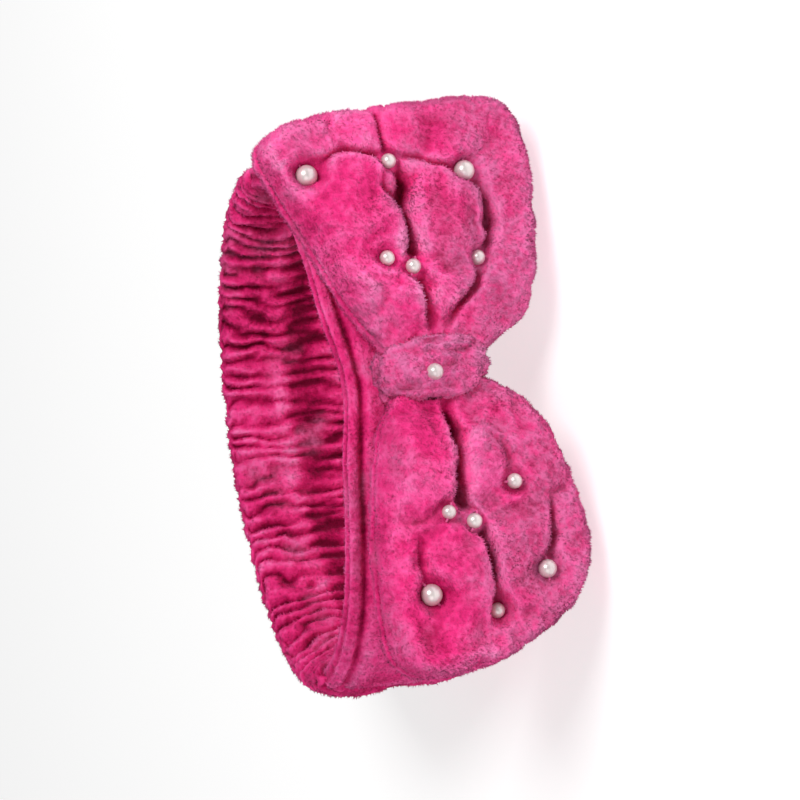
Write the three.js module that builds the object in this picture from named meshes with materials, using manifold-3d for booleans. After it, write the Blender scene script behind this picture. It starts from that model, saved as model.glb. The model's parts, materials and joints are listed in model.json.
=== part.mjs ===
// Spa headband: a padded plush front band, a gathered back with an elastic strip inside, and a padded bow
// with sewn-on pearl beads.
// Millimetres, +Z up. The bow faces -Y and its wings lie along X. The headband rests on its lower edges,
// and the origin is the middle of its box, at the level that it rests on.
import * as THREE from "three";
import { mergeVertices } from "three/addons/utils/BufferGeometryUtils.js";
import Module from "manifold-3d";

const wasm = await Module();
wasm.setup();

// ---------------------------------------------------------------- driving dimensions

const clearance = 0.3; // gap between pieces that lie against each other
const clothWall = 1.6; // plush cloth

// the ring that goes round the head, relaxed
const ringHalfSpan = 86; // outside, side to side
const ringHalfDepth = 61; // outside, front to back
const bandWidth = 56;
const bandThickness = 10;
const frontHalfAngle = 86; // degrees of the oval that the smooth front band covers, each side of its middle
const backHalfAngle = 42; // degrees of the oval that the middle of the gathered back covers, each side
const casingWall = 2.8; // gathered plush
const joinSeamLength = 1.6; // folded seam allowances, along the band
const elasticWidth = 38;
const elasticThickness = 1.4;
const elasticTuck = 8; // sewn into each end of the front band

// the bow
const wingReach = 87; // from the middle of the bow to the end of a wing
const wingHalfHeight = 42;
const wingWidestAt = 64; // distance from the middle where a wing reaches its full height
const wingShoulder = 0.58; // exponent of a wing's growing height: the smaller, the rounder its shoulders
const wingHalfThickness = 13;
const wingEdgeHalfThickness = 3;
const wingCornerRadius = 14;
const wingEndSlant = 3.5; // one corner reaches this much further than the middle of the end, the other less
const fillingGap = 0.5; // between the filling and the cloth round it
const wingSquareness = 2.4; // exponent of the wing's section, where 2 is an ellipse
const neckHalfHeight = 14.2; // where a wing goes into the knot
const neckHalfThickness = 5.2;
const neckGap = 0.6;
const knotWidth = 19; // along the bow
const knotWall = 3.2;
const knotRounding = 1.3;
const waistHalfWidth = 3.4; // gathered cloth between the two wings
const bendDepth = 0.5; // how far inside the knot's edge a wing bends

// beads and threads
const beadHoleRadius = 0.65;
const threadRadius = 0.35;
const threadSideGap = 0.35; // between a bead's side and its thread
const beadSink = 1.0; // how far a bead's centre lies below the wing's outline
const knotBeadRise = 0.8; // the knot is firmer, so its bead sits higher

// distances from the middle of the bow, to the right and up; a bead's turn is its hole's direction, degrees
const beads = [
  { name: "right_upper_corner", right: 61, up: 33.5, radius: 3.5, turn: 30 },
  { name: "right_outer_crease", right: 63.5, up: 8, radius: 2.4, turn: 90 },
  { name: "right_lower_corner", right: 59, up: -16, radius: 3.4, turn: 0 },
  { name: "right_crease_upper", right: 33.5, up: 13.5, radius: 2.4, turn: -22 },
  { name: "right_crease_inner", right: 30.5, up: 5.5, radius: 2.4, turn: -22 },
  { name: "right_lower_crease", right: 32, up: -16, radius: 2.4, turn: 90 },
  { name: "left_lower_inner", right: -37, up: -15.5, radius: 2.4, turn: 90 },
  { name: "left_crease_upper", right: -44, up: 7.5, radius: 2.2, turn: -25 },
  { name: "left_crease_inner", right: -47.5, up: 0, radius: 2.4, turn: -25 },
  { name: "left_upper_corner", right: -67, up: 15.5, radius: 3.4, turn: 30 },
  { name: "left_lower_corner", right: -64, up: -22.5, radius: 3.0, turn: 0 },
  { name: "left_outer_crease", right: -74, up: -5, radius: 2.4, turn: 90 },
];
const knotBead = { name: "knot", right: -1.8, up: 4, radius: 2.6, turn: 90 };
const tackHeights = { lower: -10, upper: 11 }; // stitches that hold the bow on the band
const tackHalfWidth = 2.4;

// how the headband rests
const restFlat = 0.5; // the plush is pressed flat by this much where it rests

// fineness of the meshes
const arcSegments = 3;
const shellArcSegments = 2;
const ringStepAngle = 10; // degrees
const wingSides = 16;
const neckSteps = 4;
const wingSteps = 11;
const beadSides = 9;
const beadRings = 5;
const threadSides = 5;

// ---------------------------------------------------------------- materials

function material(colour, roughness) {
  return new THREE.MeshStandardMaterial({ color: colour, roughness, metalness: 0 });
}
const plush = () => material(0xe8399a, 0.95);
const gatheredPlush = () => material(0xd93a92, 0.95);
const foam = () => material(0xf3e6dc, 1);
const elasticWeb = () => material(0xf4f2f0, 0.8);
const thread = () => material(0xc22f7c, 0.7);
const pearl = () => material(0xf1e8e6, 0.22);

// ---------------------------------------------------------------- solids

function solidOf(geometry) {
  const bare = geometry.clone();
  bare.deleteAttribute("normal");
  bare.deleteAttribute("uv");
  const merged = mergeVertices(bare, 1e-4);
  const vertProperties = new Float32Array(merged.attributes.position.array);
  const triVerts = new Uint32Array(merged.index.array);
  return new wasm.Manifold(new wasm.Mesh({ numProp: 3, vertProperties, triVerts }));
}

function geometryOf(solid) {
  const mesh = solid.getMesh();
  const geometry = new THREE.BufferGeometry();
  geometry.setAttribute("position", new THREE.BufferAttribute(new Float32Array(mesh.vertProperties), 3));
  geometry.setIndex(new THREE.BufferAttribute(new Uint32Array(mesh.triVerts), 1));
  geometry.computeVertexNormals();
  return geometry;
}

function subtractAll(solid, cutters) {
  return cutters.reduce((left, cutter) => left.subtract(cutter), solid);
}

// Extrudes a section through a number of steps, then puts each of its points where place(x, y, t) says,
// where x and y are the point in the section and t goes from 0 to 1 along the piece.
function sweep(section, steps, place) {
  const geometry = new THREE.ExtrudeGeometry(section, {
    depth: 1, steps, bevelEnabled: false, curveSegments: arcSegments,
  });
  const positions = geometry.attributes.position;
  for (let i = 0; i < positions.count; i += 1) {
    const point = place(positions.getX(i), positions.getY(i), positions.getZ(i));
    positions.setXYZ(i, point.x, point.y, point.z);
  }
  return geometry;
}

// ---------------------------------------------------------------- the ring

const degrees = Math.PI / 180;
const midSpan = ringHalfSpan - bandThickness / 2;
const midDepth = ringHalfDepth - bandThickness / 2;

// A point of the ring's oval: angle 0 is the middle of the front band, at -Y, and 90 is the right side.
// out is the distance outwards from the middle of the band's thickness.
function ringPoint(angle, out, up) {
  const sine = Math.sin(angle * degrees);
  const cosine = Math.cos(angle * degrees);
  const outwards = new THREE.Vector2(midDepth * sine, -midSpan * cosine).normalize();
  return new THREE.Vector3(midSpan * sine + outwards.x * out, -midDepth * cosine + outwards.y * out, up);
}

// The angle that lies a length further along the band.
function angleAfter(angle, length) {
  const along = Math.hypot(midSpan * Math.cos(angle * degrees), midDepth * Math.sin(angle * degrees));
  return angle + length / along / degrees;
}

function ringSweep(section, from, to) {
  const steps = Math.max(1, Math.round((to - from) / ringStepAngle));
  return sweep(section, steps, (x, y, t) => ringPoint(from + (to - from) * t, y, x));
}

// Every section of the band has x up the band's width and y outwards through its thickness.
function roundEnded(half, inset) {
  const radius = half.thickness - inset;
  const straight = half.width - half.thickness;
  const outline = new THREE.Path();
  outline.absarc(straight, 0, radius, -Math.PI / 2, Math.PI / 2);
  outline.absarc(-straight, 0, radius, Math.PI / 2, 1.5 * Math.PI);
  outline.closePath();
  return outline;
}

// One half of a hollow section: side 1 is the outside of the band and side -1 the inside.
function halfShell(half, wall, side) {
  const straight = half.width - half.thickness;
  const lift = clearance / 2;
  const outer = half.thickness;
  const inner = half.thickness - wall;
  const outerStart = Math.asin(lift / outer);
  const innerStart = Math.asin(lift / inner);
  const shape = new THREE.Shape();
  if (side > 0) {
    shape.absarc(straight, 0, outer, outerStart, Math.PI / 2);
    shape.absarc(-straight, 0, outer, Math.PI / 2, Math.PI - outerStart);
    shape.absarc(-straight, 0, inner, Math.PI - innerStart, Math.PI / 2, true);
    shape.absarc(straight, 0, inner, Math.PI / 2, innerStart, true);
  } else {
    shape.absarc(-straight, 0, outer, Math.PI + outerStart, 1.5 * Math.PI);
    shape.absarc(straight, 0, outer, -Math.PI / 2, -outerStart);
    shape.absarc(straight, 0, inner, -innerStart, -Math.PI / 2, true);
    shape.absarc(-straight, 0, inner, 1.5 * Math.PI, Math.PI + innerStart, true);
  }
  shape.closePath();
  return new THREE.Shape(shape.getPoints(shellArcSegments));
}

function rectangle(halfWidth, halfHeight) {
  const shape = new THREE.Shape();
  shape.moveTo(-halfWidth, -halfHeight);
  shape.lineTo(halfWidth, -halfHeight);
  shape.lineTo(halfWidth, halfHeight);
  shape.lineTo(-halfWidth, halfHeight);
  shape.closePath();
  return shape;
}

const band = { width: bandWidth / 2, thickness: bandThickness / 2 };
const bandOutline = (inset) => new THREE.Shape(roundEnded(band, inset).getPoints(arcSegments));

function bandWithHole(inset, hole) {
  const shape = bandOutline(inset);
  shape.holes.push(hole);
  return shape;
}

const elasticSlot = new THREE.Path(
  rectangle(elasticWidth / 2 + clearance, elasticThickness / 2 + clearance).getPoints().reverse(),
);

const seamStart = angleAfter(frontHalfAngle, clearance);
const seamEnd = angleAfter(seamStart, joinSeamLength);
const casingStart = angleAfter(seamEnd, clearance);
const backStart = 180 - backHalfAngle;
const sideEnd = angleAfter(backStart, -clearance);
const elasticStart = angleAfter(frontHalfAngle, -elasticTuck);
const paddingEnd = angleAfter(elasticStart, -1);

const frontCover = ringSweep(halfShell(band, clothWall, 1), -frontHalfAngle, frontHalfAngle);
const frontLining = ringSweep(halfShell(band, clothWall, -1), -frontHalfAngle, frontHalfAngle);
const frontPadding = ringSweep(bandOutline(clothWall + clearance), -paddingEnd, paddingEnd);
const joinSection = bandWithHole(clothWall / 3, elasticSlot);
const rightJoin = ringSweep(joinSection, seamStart, seamEnd);
const leftJoin = ringSweep(joinSection, -seamEnd, -seamStart);
const casingSection = bandWithHole(0, roundEnded(band, casingWall));
const casingRight = ringSweep(casingSection, casingStart, sideEnd);
const casingBack = ringSweep(casingSection, backStart, 360 - backStart);
const casingLeft = ringSweep(casingSection, 360 - sideEnd, 360 - casingStart);
const elastic = ringSweep(rectangle(elasticWidth / 2, elasticThickness / 2), elasticStart, 360 - elasticStart);

// ---------------------------------------------------------------- the bow

// The bow's own axes are the ring's: right is X, up is Z, and back is +Y from the bow's middle plane.
const knotHalfThickness = neckHalfThickness + neckGap + knotWall;
const knotHalfHeight = neckHalfHeight + neckGap + knotWall;
const bowPlane = -(ringHalfDepth + clearance + knotHalfThickness);
const bendLine = knotWidth / 2 - bendDepth; // a wing's hinge line lies this far from the middle

const wingStart = bendLine - neckHalfThickness;
const neckEnd = knotWidth / 2 + neckGap; // past the knot's edge a wing widens

function halfHeightAt(reach) {
  const grown = THREE.MathUtils.clamp((reach - neckEnd) / (wingWidestAt - neckEnd), 0, 1);
  const side = neckHalfHeight + (wingHalfHeight - neckHalfHeight) * grown ** wingShoulder;
  const intoCorner = Math.max(0, reach - (wingReach - wingCornerRadius));
  return side - wingCornerRadius + Math.sqrt(wingCornerRadius ** 2 - Math.min(intoCorner, wingCornerRadius) ** 2);
}

function halfThicknessAt(reach) {
  if (reach < bendLine) {
    return Math.sqrt(neckHalfThickness ** 2 - (bendLine - reach) ** 2);
  }
  const along = (reach - bendLine) / (wingReach - bendLine);
  const floor = THREE.MathUtils.lerp(neckHalfThickness, wingEdgeHalfThickness, along);
  const middle = (neckHalfThickness + wingEdgeHalfThickness) / 2;
  return floor + (wingHalfThickness - middle) * Math.sin(Math.PI * along) ** 1.2;
}

// The distances from the bow's middle at which a wing's section is set out.
const wingStations = [
  ...Array.from({ length: neckSteps }, (_, i) => (
    THREE.MathUtils.lerp(wingStart + clearance / 3, neckEnd, i / neckSteps)
  )),
  ...Array.from({ length: wingSteps + 1 }, (_, i) => (
    THREE.MathUtils.lerp(neckEnd, wingReach, (1 - Math.cos((Math.PI * i) / wingSteps)) / 2)
  )),
];

function power(value) {
  return Math.sign(value) * Math.abs(value) ** (2 / wingSquareness);
}

// A wing's pillow shape, taken in by an inset all round. It lies on the right of the bow.
function wingPillow(inset) {
  const section = new THREE.Shape(Array.from({ length: wingSides }, (_, i) => {
    const angle = (i / wingSides) * 2 * Math.PI;
    return new THREE.Vector2(Math.cos(angle), Math.sin(angle));
  }));
  const steps = wingStations.length - 1;
  return sweep(section, steps, (x, y, t) => {
    const reach = wingStations[Math.round(t * steps)];
    const along = (reach - wingStations[0]) / (wingReach - wingStations[0]);
    const thickness = Math.max(halfThicknessAt(reach) - inset, clothWall / 3);
    const height = halfHeightAt(reach) - inset;
    const slant = wingEndSlant * (reach / wingReach) ** 2 * power(y);
    const right = reach + inset * (1 - 2 * along) - slant;
    return new THREE.Vector3(right, bowPlane + thickness * power(x), height * power(y));
  });
}

// How far in front of the bow's middle plane a wing's outline lies at a place.
function wingFrontAt(right, up) {
  const reach = Math.abs(right);
  const share = Math.min(Math.abs(up) / halfHeightAt(reach), 1);
  return halfThicknessAt(reach) * (1 - share ** wingSquareness) ** (1 / wingSquareness);
}

function sphereAt(centre, radius) {
  const aroundBead = radius / Math.cos(Math.PI / beadSides);
  const geometry = new THREE.SphereGeometry(aroundBead, beadSides, beadRings);
  return solidOf(geometry.translate(centre.x, centre.y, centre.z));
}

function beadCentre(bead, front) {
  return new THREE.Vector3(bead.right, bowPlane - front, bead.up);
}

function beadGeometry(bead, centre) {
  const profile = [];
  const mouth = Math.asin(beadHoleRadius / bead.radius);
  for (let i = 0; i <= beadRings; i += 1) {
    const angle = mouth + ((Math.PI - 2 * mouth) * i) / beadRings;
    profile.push(new THREE.Vector2(bead.radius * Math.sin(angle), -bead.radius * Math.cos(angle)));
  }
  profile.push(profile[0].clone());
  const geometry = new THREE.LatheGeometry(profile, beadSides);
  geometry.rotateZ(-Math.PI / 2);
  geometry.rotateY(-bead.turn * degrees);
  return geometry.translate(centre.x, centre.y, centre.z);
}

// A stitch: two legs along Y, a bar across their front ends, and a bar across their back ends that is
// open in its middle, where the thread's two tails are tucked in.
function stitch(centre, turn, halfWidth, frontY, backY, radius) {
  const across = new THREE.Vector3(Math.cos(turn * degrees), 0, Math.sin(turn * degrees));
  const chamfer = 0.4;
  const tail = threadRadius + clearance / 2 - (radius - threadRadius) * 0.5;
  const route = [
    [tail, backY], [halfWidth - chamfer, backY], [halfWidth, backY - chamfer],
    [halfWidth, frontY + chamfer], [halfWidth - chamfer, frontY],
    [-halfWidth + chamfer, frontY], [-halfWidth, frontY + chamfer],
    [-halfWidth, backY - chamfer], [-halfWidth + chamfer, backY], [-tail, backY],
  ].map(([sideways, y]) => new THREE.Vector2(sideways, y));
  const section = new THREE.Shape(Array.from({ length: threadSides }, (_, i) => {
    const angle = ((i + 0.5) / threadSides) * 2 * Math.PI;
    return new THREE.Vector2(radius * Math.cos(angle), radius * Math.sin(angle));
  }));
  const legs = route.length - 1;
  const straight = (i) => route[i + 1].clone().sub(route[i]).normalize();
  const outOfPlane = new THREE.Vector3(across.z, 0, -across.x);
  return sweep(section, legs, (x, y, t) => {
    const i = Math.round(t * legs);
    const before = straight(Math.max(i - 1, 0));
    const after = straight(Math.min(i, legs - 1));
    const middle = before.clone().add(after).normalize();
    const mitre = 1 / Math.max(middle.dot(before), 0.5);
    const inPlane = new THREE.Vector2(middle.y, -middle.x).multiplyScalar(mitre * x);
    const at = route[i].clone().add(inPlane);
    return new THREE.Vector3(centre.x, 0, centre.z)
      .addScaledVector(across, at.x)
      .addScaledVector(outOfPlane, y)
      .setY(at.y);
  });
}

const stitchRoom = threadRadius + clearance;

function sewnBead(bead) {
  const centre = beadCentre(bead, wingFrontAt(bead.right, bead.up) - beadSink);
  const halfWidth = bead.radius + threadSideGap + threadRadius;
  const backs = [-1, 0, 1].map((side) => {
    const right = bead.right + side * halfWidth * Math.cos(bead.turn * degrees);
    const up = bead.up + side * halfWidth * Math.sin(bead.turn * degrees);
    return wingFrontAt(right, up);
  });
  const backY = bowPlane + Math.max(...backs) - threadRadius;
  const ends = [centre, bead.turn, halfWidth, centre.y, backY];
  return {
    name: bead.name,
    side: Math.sign(bead.right),
    bead: beadGeometry(bead, centre),
    thread: stitch(...ends, threadRadius),
    threadRoom: solidOf(stitch(...ends, stitchRoom)),
    room: (grown) => sphereAt(centre, bead.radius + grown),
  };
}

// One wing's front panel, back panel and filling. side is 1 for the right wing. The left wing is cut from
// the same pattern, turned half round.
function wing(side, sewn) {
  const turned = (geometry) => (side > 0 ? geometry : geometry.rotateY(Math.PI));
  const rooms = (grown) => sewn.map((each) => each.room(grown));
  const threads = sewn.map((each) => each.threadRoom);
  const outside = subtractAll(solidOf(turned(wingPillow(0))), rooms(clearance));
  const inside = subtractAll(solidOf(turned(wingPillow(clothWall))), rooms(clearance + clothWall));
  const cloth = subtractAll(outside.subtract(inside), threads);
  const size = 4 * wingReach;
  const halfSpace = (direction) => solidOf(
    new THREE.BoxGeometry(size, size, size)
      .translate(0, bowPlane + direction * (size / 2 + clearance / 2), 0),
  );
  const filling = subtractAll(
    solidOf(turned(wingPillow(clothWall + fillingGap))),
    rooms(clearance + clothWall + fillingGap),
  );
  return {
    front: cloth.intersect(halfSpace(-1)),
    back: cloth.intersect(halfSpace(1)),
    filling: subtractAll(filling, threads),
  };
}

const sewnBeads = beads.map(sewnBead);
const rightBeads = sewnBeads.filter((each) => each.side > 0);
const leftBeads = sewnBeads.filter((each) => each.side < 0);
const rightWing = wing(1, rightBeads);
const leftWing = wing(-1, leftBeads);

// ---------------------------------------------------------------- the knot and its stitches

function roundedRectangle(halfWidth, halfHeight, radius) {
  const shape = new THREE.Shape();
  shape.absarc(halfWidth - radius, halfHeight - radius, radius, 0, Math.PI / 2);
  shape.absarc(-halfWidth + radius, halfHeight - radius, radius, Math.PI / 2, Math.PI);
  shape.absarc(-halfWidth + radius, -halfHeight + radius, radius, Math.PI, 1.5 * Math.PI);
  shape.absarc(halfWidth - radius, -halfHeight + radius, radius, 1.5 * Math.PI, 2 * Math.PI);
  shape.closePath();
  return shape;
}

// Extrudes a shape drawn with x back and y up through a width along X, with rounded edges.
function acrossBow(shape, width, rounding) {
  const geometry = new THREE.ExtrudeGeometry(shape, {
    depth: width - 2 * rounding,
    bevelThickness: rounding,
    bevelSize: rounding,
    bevelOffset: -rounding,
    bevelSegments: 2,
    curveSegments: arcSegments,
  });
  geometry.translate(0, 0, -(width / 2 - rounding));
  geometry.rotateX(Math.PI / 2);
  geometry.rotateZ(Math.PI / 2);
  return geometry.translate(0, bowPlane, 0);
}

const knotOutline = roundedRectangle(knotHalfThickness, knotHalfHeight, knotHalfThickness * 0.8);
knotOutline.holes.push(new THREE.Path(
  roundedRectangle(neckHalfThickness + neckGap, neckHalfHeight + neckGap, neckHalfThickness * 0.8)
    .getPoints(arcSegments).reverse(),
));
const waistOutline = roundedRectangle(neckHalfThickness, neckHalfHeight, neckHalfThickness * 0.8);

const knotBeadCentre = beadCentre(knotBead, knotHalfThickness + knotBeadRise);
const knotStitchEnds = [
  knotBeadCentre, knotBead.turn, knotBead.radius + threadSideGap + threadRadius,
  knotBeadCentre.y, bowPlane + neckHalfThickness - threadRadius,
];

const tackFront = bowPlane + neckHalfThickness - threadRadius;
const tackBack = -ringHalfDepth + clothWall + 2 * clearance + threadRadius;
const tacks = Object.entries(tackHeights).map(([name, up]) => {
  const ends = [new THREE.Vector3(0, 0, up), 0, tackHalfWidth, tackFront, tackBack];
  return { name, thread: stitch(...ends, threadRadius), room: solidOf(stitch(...ends, stitchRoom)) };
});
const tackRooms = tacks.map((each) => each.room);

const knotThreadRoom = solidOf(stitch(...knotStitchEnds, stitchRoom));
const knotWrap = subtractAll(
  solidOf(acrossBow(knotOutline, knotWidth, knotRounding)),
  [sphereAt(knotBeadCentre, knotBead.radius + clearance), knotThreadRoom, ...tackRooms],
);
const bowWaist = subtractAll(
  solidOf(acrossBow(waistOutline, 2 * waistHalfWidth, knotRounding / 2)),
  [knotThreadRoom, ...tackRooms],
);

// ---------------------------------------------------------------- how it rests

// The wings are taller than the band, so the ring leans back until its own back edge rests too.
const lean = Math.atan2(
  wingHalfHeight - bandWidth / 2,
  ringHalfDepth - bandThickness / 2 - bowPlane,
);

function lowestLevel(geometry) {
  const positions = geometry.attributes.position;
  let lowest = Infinity;
  for (let i = 0; i < positions.count; i += 1) {
    const level = positions.getZ(i) * Math.cos(lean) - positions.getY(i) * Math.sin(lean);
    lowest = Math.min(lowest, level);
  }
  return lowest;
}

const lowestLevels = [rightWing.back, leftWing.back].map((panel) => lowestLevel(geometryOf(panel)));
lowestLevels.push(lowestLevel(casingBack));
const restLevel = Math.max(...lowestLevels) + restFlat;
const underRest = solidOf(
  new THREE.BoxGeometry(6 * wingReach, 6 * wingReach, 2 * wingReach)
    .translate(0, 0, restLevel - wingReach)
    .rotateX(lean),
);

// ---------------------------------------------------------------- the scene graph

const headband = new THREE.Group();

function addGeometry(name, geometry, finish) {
  const mesh = new THREE.Mesh(geometry, finish);
  mesh.name = name;
  headband.add(mesh);
}

function addSolid(name, solid, finish) {
  addGeometry(name, geometryOf(solid), finish);
}

addSolid("front_band_cover", subtractAll(solidOf(frontCover), tackRooms), plush());
addGeometry("front_band_lining", frontLining, plush());
addSolid("front_band_padding", subtractAll(solidOf(frontPadding), tackRooms), foam());
addGeometry("left_join_seam", leftJoin, plush());
addGeometry("right_join_seam", rightJoin, plush());
addGeometry("gathered_casing_left", casingLeft, gatheredPlush());
addSolid("gathered_casing_back", solidOf(casingBack).subtract(underRest), gatheredPlush());
addGeometry("gathered_casing_right", casingRight, gatheredPlush());
addGeometry("elastic_strip", elastic, elasticWeb());

for (const [side, parts] of Object.entries({ right: rightWing, left: leftWing })) {
  addSolid(`${side}_wing_front_panel`, parts.front.subtract(underRest), plush());
  addSolid(`${side}_wing_back_panel`, parts.back.subtract(underRest), plush());
  addSolid(`${side}_wing_filling`, parts.filling, foam());
}

addSolid("knot_wrap", knotWrap, plush());
addSolid("bow_waist", bowWaist, plush());
for (const tack of tacks) {
  addGeometry(`bow_tack_stitch_${tack.name}`, tack.thread, thread());
}
for (const each of sewnBeads) {
  addGeometry(`pearl_${each.name}`, each.bead, pearl());
  addGeometry(`pearl_thread_${each.name}`, each.thread, thread());
}
addGeometry("pearl_knot", beadGeometry(knotBead, knotBeadCentre), pearl());
addGeometry("pearl_thread_knot", stitch(...knotStitchEnds, threadRadius), thread());

headband.rotation.x = -lean;

const standing = new THREE.Group();
standing.add(headband);
standing.updateMatrixWorld(true);
const box = new THREE.Box3().setFromObject(standing, true);
const middle = box.getCenter(new THREE.Vector3());
headband.position.set(-middle.x, -middle.y, -box.min.z);
standing.updateMatrixWorld(true);

export default standing;
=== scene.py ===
# %% [markdown]
# # A plush spa headband with a bow
#
# This lesson dresses a working model of a spa headband. The model holds the real sizes, the bodies
# that move and where each piece sits. Here every soft piece gets the shape of stuffed, gathered or
# tufted plush and every pearl gets its polish, and the knot, the front band and the pearls move with
# the bodies of the model.

# %% Loading the working model
import json
import math

import bmesh
import bpy
import numpy as np
from mathutils import Matrix, Vector, noise

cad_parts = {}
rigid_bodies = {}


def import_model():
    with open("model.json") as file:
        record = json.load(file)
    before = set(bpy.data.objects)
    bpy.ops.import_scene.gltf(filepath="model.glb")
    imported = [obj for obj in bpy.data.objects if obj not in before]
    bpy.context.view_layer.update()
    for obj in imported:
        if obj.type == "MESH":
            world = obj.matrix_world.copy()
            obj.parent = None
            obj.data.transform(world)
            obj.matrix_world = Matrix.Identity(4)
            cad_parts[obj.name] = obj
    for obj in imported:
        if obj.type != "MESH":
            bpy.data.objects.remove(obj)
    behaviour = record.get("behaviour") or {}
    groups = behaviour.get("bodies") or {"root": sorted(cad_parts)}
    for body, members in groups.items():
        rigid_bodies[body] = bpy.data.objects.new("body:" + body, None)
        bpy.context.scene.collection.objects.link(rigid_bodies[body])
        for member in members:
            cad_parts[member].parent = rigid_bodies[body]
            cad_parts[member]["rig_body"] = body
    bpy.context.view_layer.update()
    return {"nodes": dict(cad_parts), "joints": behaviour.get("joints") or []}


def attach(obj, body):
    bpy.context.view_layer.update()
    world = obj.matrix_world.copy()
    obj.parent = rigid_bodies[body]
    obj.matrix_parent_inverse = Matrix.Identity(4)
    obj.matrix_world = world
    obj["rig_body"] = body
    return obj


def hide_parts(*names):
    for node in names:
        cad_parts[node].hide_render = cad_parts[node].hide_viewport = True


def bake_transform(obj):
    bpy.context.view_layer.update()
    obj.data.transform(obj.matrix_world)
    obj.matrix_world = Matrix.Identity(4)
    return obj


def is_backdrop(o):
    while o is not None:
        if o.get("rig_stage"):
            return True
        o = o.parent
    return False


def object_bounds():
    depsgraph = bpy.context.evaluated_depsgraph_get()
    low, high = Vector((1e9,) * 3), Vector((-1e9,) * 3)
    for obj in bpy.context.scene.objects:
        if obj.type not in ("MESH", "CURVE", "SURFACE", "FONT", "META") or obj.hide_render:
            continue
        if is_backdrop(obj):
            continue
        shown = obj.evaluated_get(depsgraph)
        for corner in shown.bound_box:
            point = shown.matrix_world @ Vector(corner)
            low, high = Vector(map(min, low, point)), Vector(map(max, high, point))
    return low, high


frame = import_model()

# %% [markdown]
# ## One place to work from
#
# The bow leans forward a little, because the headband rests on the lower edge of its band. It is far
# easier to shape a bow that stands straight. So every soft piece is made in millimetres about the
# middle of the bow, with X to the right, Y backwards and Z up the knot, and one matrix then stands it
# in its real place. The hinge of the right wing runs up the side of the knot, so it gives the lean.

# %% The middle of the bow
MM = 0.001
wing_hinge = next(joint for joint in frame["joints"] if joint["name"] == "right_wing_bend")
bow_up = Vector(wing_hinge["axis"]).normalized()
bow_right = Vector((1, 0, 0))
bow_back = bow_up.cross(bow_right)
bow_middle = Vector((0, *wing_hinge["pos_m"][1:]))
turned = Matrix((bow_right, bow_back, bow_up)).transposed().to_4x4()
stand = Matrix.Translation(bow_middle) @ turned @ Matrix.Scale(MM, 4)
lay_flat = stand.inverted()


def node_points(node):
    """A node's points in millimetres about the middle of the bow."""
    mesh = frame["nodes"][node].data
    points = np.empty(len(mesh.vertices) * 3)
    mesh.vertices.foreach_get("co", points)
    turn = np.array(lay_flat)
    return points.reshape(-1, 3) @ turn[:3, :3].T + turn[:3, 3]


def node_box(node):
    """A node's lowest and highest corner in millimetres about the middle of the bow."""
    points = node_points(node)
    return Vector(points.min(0)), Vector(points.max(0))


print("the bow leans by", round(math.degrees(bow_up.angle((0, 0, 1))), 2), "degrees")

# %% [markdown]
# ## The camera
#
# The headband is looked at from above its front and a little to its left, with the camera on its
# side, so that the bow runs down the picture. A long lens from about sixty centimetres keeps the
# bow's real proportions. The aim is moved a little off the knot, to leave room for the band.

# %% Making the camera
camera_azimuth = math.radians(-9.63)
camera_elevation = math.radians(22.74)
camera_roll = math.radians(-95.4)
camera_distance = 600
lens_per_frame = 89.4
aim_across = -10.4
aim_along = -8.8

towards_camera = Vector((
    math.sin(camera_azimuth) * math.cos(camera_elevation),
    -math.cos(camera_azimuth) * math.cos(camera_elevation),
    math.sin(camera_elevation),
))
level_right = (-towards_camera).cross((0, 0, 1)).normalized()
level_up = level_right.cross(-towards_camera)
picture_right = level_right * math.cos(camera_roll) + level_up * math.sin(camera_roll)
picture_up = level_up * math.cos(camera_roll) - level_right * math.sin(camera_roll)
camera_place = towards_camera * camera_distance
aim = picture_right * aim_across + picture_up * aim_along
looking_back = (camera_place - aim).normalized()
picture_right = picture_up.cross(looking_back).normalized()
picture_up = looking_back.cross(picture_right)

camera = bpy.data.objects.new("camera", bpy.data.cameras.new("camera"))
bpy.context.scene.collection.objects.link(camera)
camera.data.lens = lens_per_frame
camera.data.clip_start = 0.02
camera.data.clip_end = 20
camera_turn = Matrix((picture_right, picture_up, looking_back)).transposed()
camera.matrix_world = (
    Matrix.Translation(stand @ camera_place) @ turned @ camera_turn.to_4x4()
)
bpy.context.scene.camera = camera
print("the camera stands", round((stand @ camera_place).z, 3), "m above the floor")

# %% [markdown]
# ## Floor and light
#
# A plain white floor and large, soft lights keep the eye on the plush. The stronger light, from high
# on the right, gives the pile its form. A weaker and wider one fills the other side, and the white
# surroundings lift what neither reaches. Standard colour keeps the pink as strong as the dye is.

# %% Making the floor and the lights
floor_mesh = bpy.data.meshes.new("floor")
floor = bpy.data.objects.new("floor", floor_mesh)
bpy.context.scene.collection.objects.link(floor)
floor_build = bmesh.new()
bmesh.ops.create_grid(floor_build, x_segments=2, y_segments=2, size=6)
floor_build.to_mesh(floor_mesh)
floor_build.free()
floor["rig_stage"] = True


def soft_light(name, place, width, power):
    """A square light that faces the bow."""
    light = bpy.data.objects.new(name, bpy.data.lights.new(name, "AREA"))
    bpy.context.scene.collection.objects.link(light)
    light.data.size = width
    light.data.energy = power
    light.location = place
    light.rotation_euler = (Vector(place) - bow_middle).to_track_quat("Z", "Y").to_euler()


soft_light("window", place=(0.45, -0.62, 0.85), width=0.45, power=8.0)
soft_light("fill", place=(-0.75, -0.85, 0.6), width=0.9, power=3.2)
world = bpy.data.worlds.new("white_room")
world.use_nodes = True
world.node_tree.nodes["Background"].inputs["Color"].default_value = (1, 1, 1, 1)
world.node_tree.nodes["Background"].inputs["Strength"].default_value = 0.3
bpy.context.scene.world = world
bpy.context.scene.view_settings.view_transform = "Standard"

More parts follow.
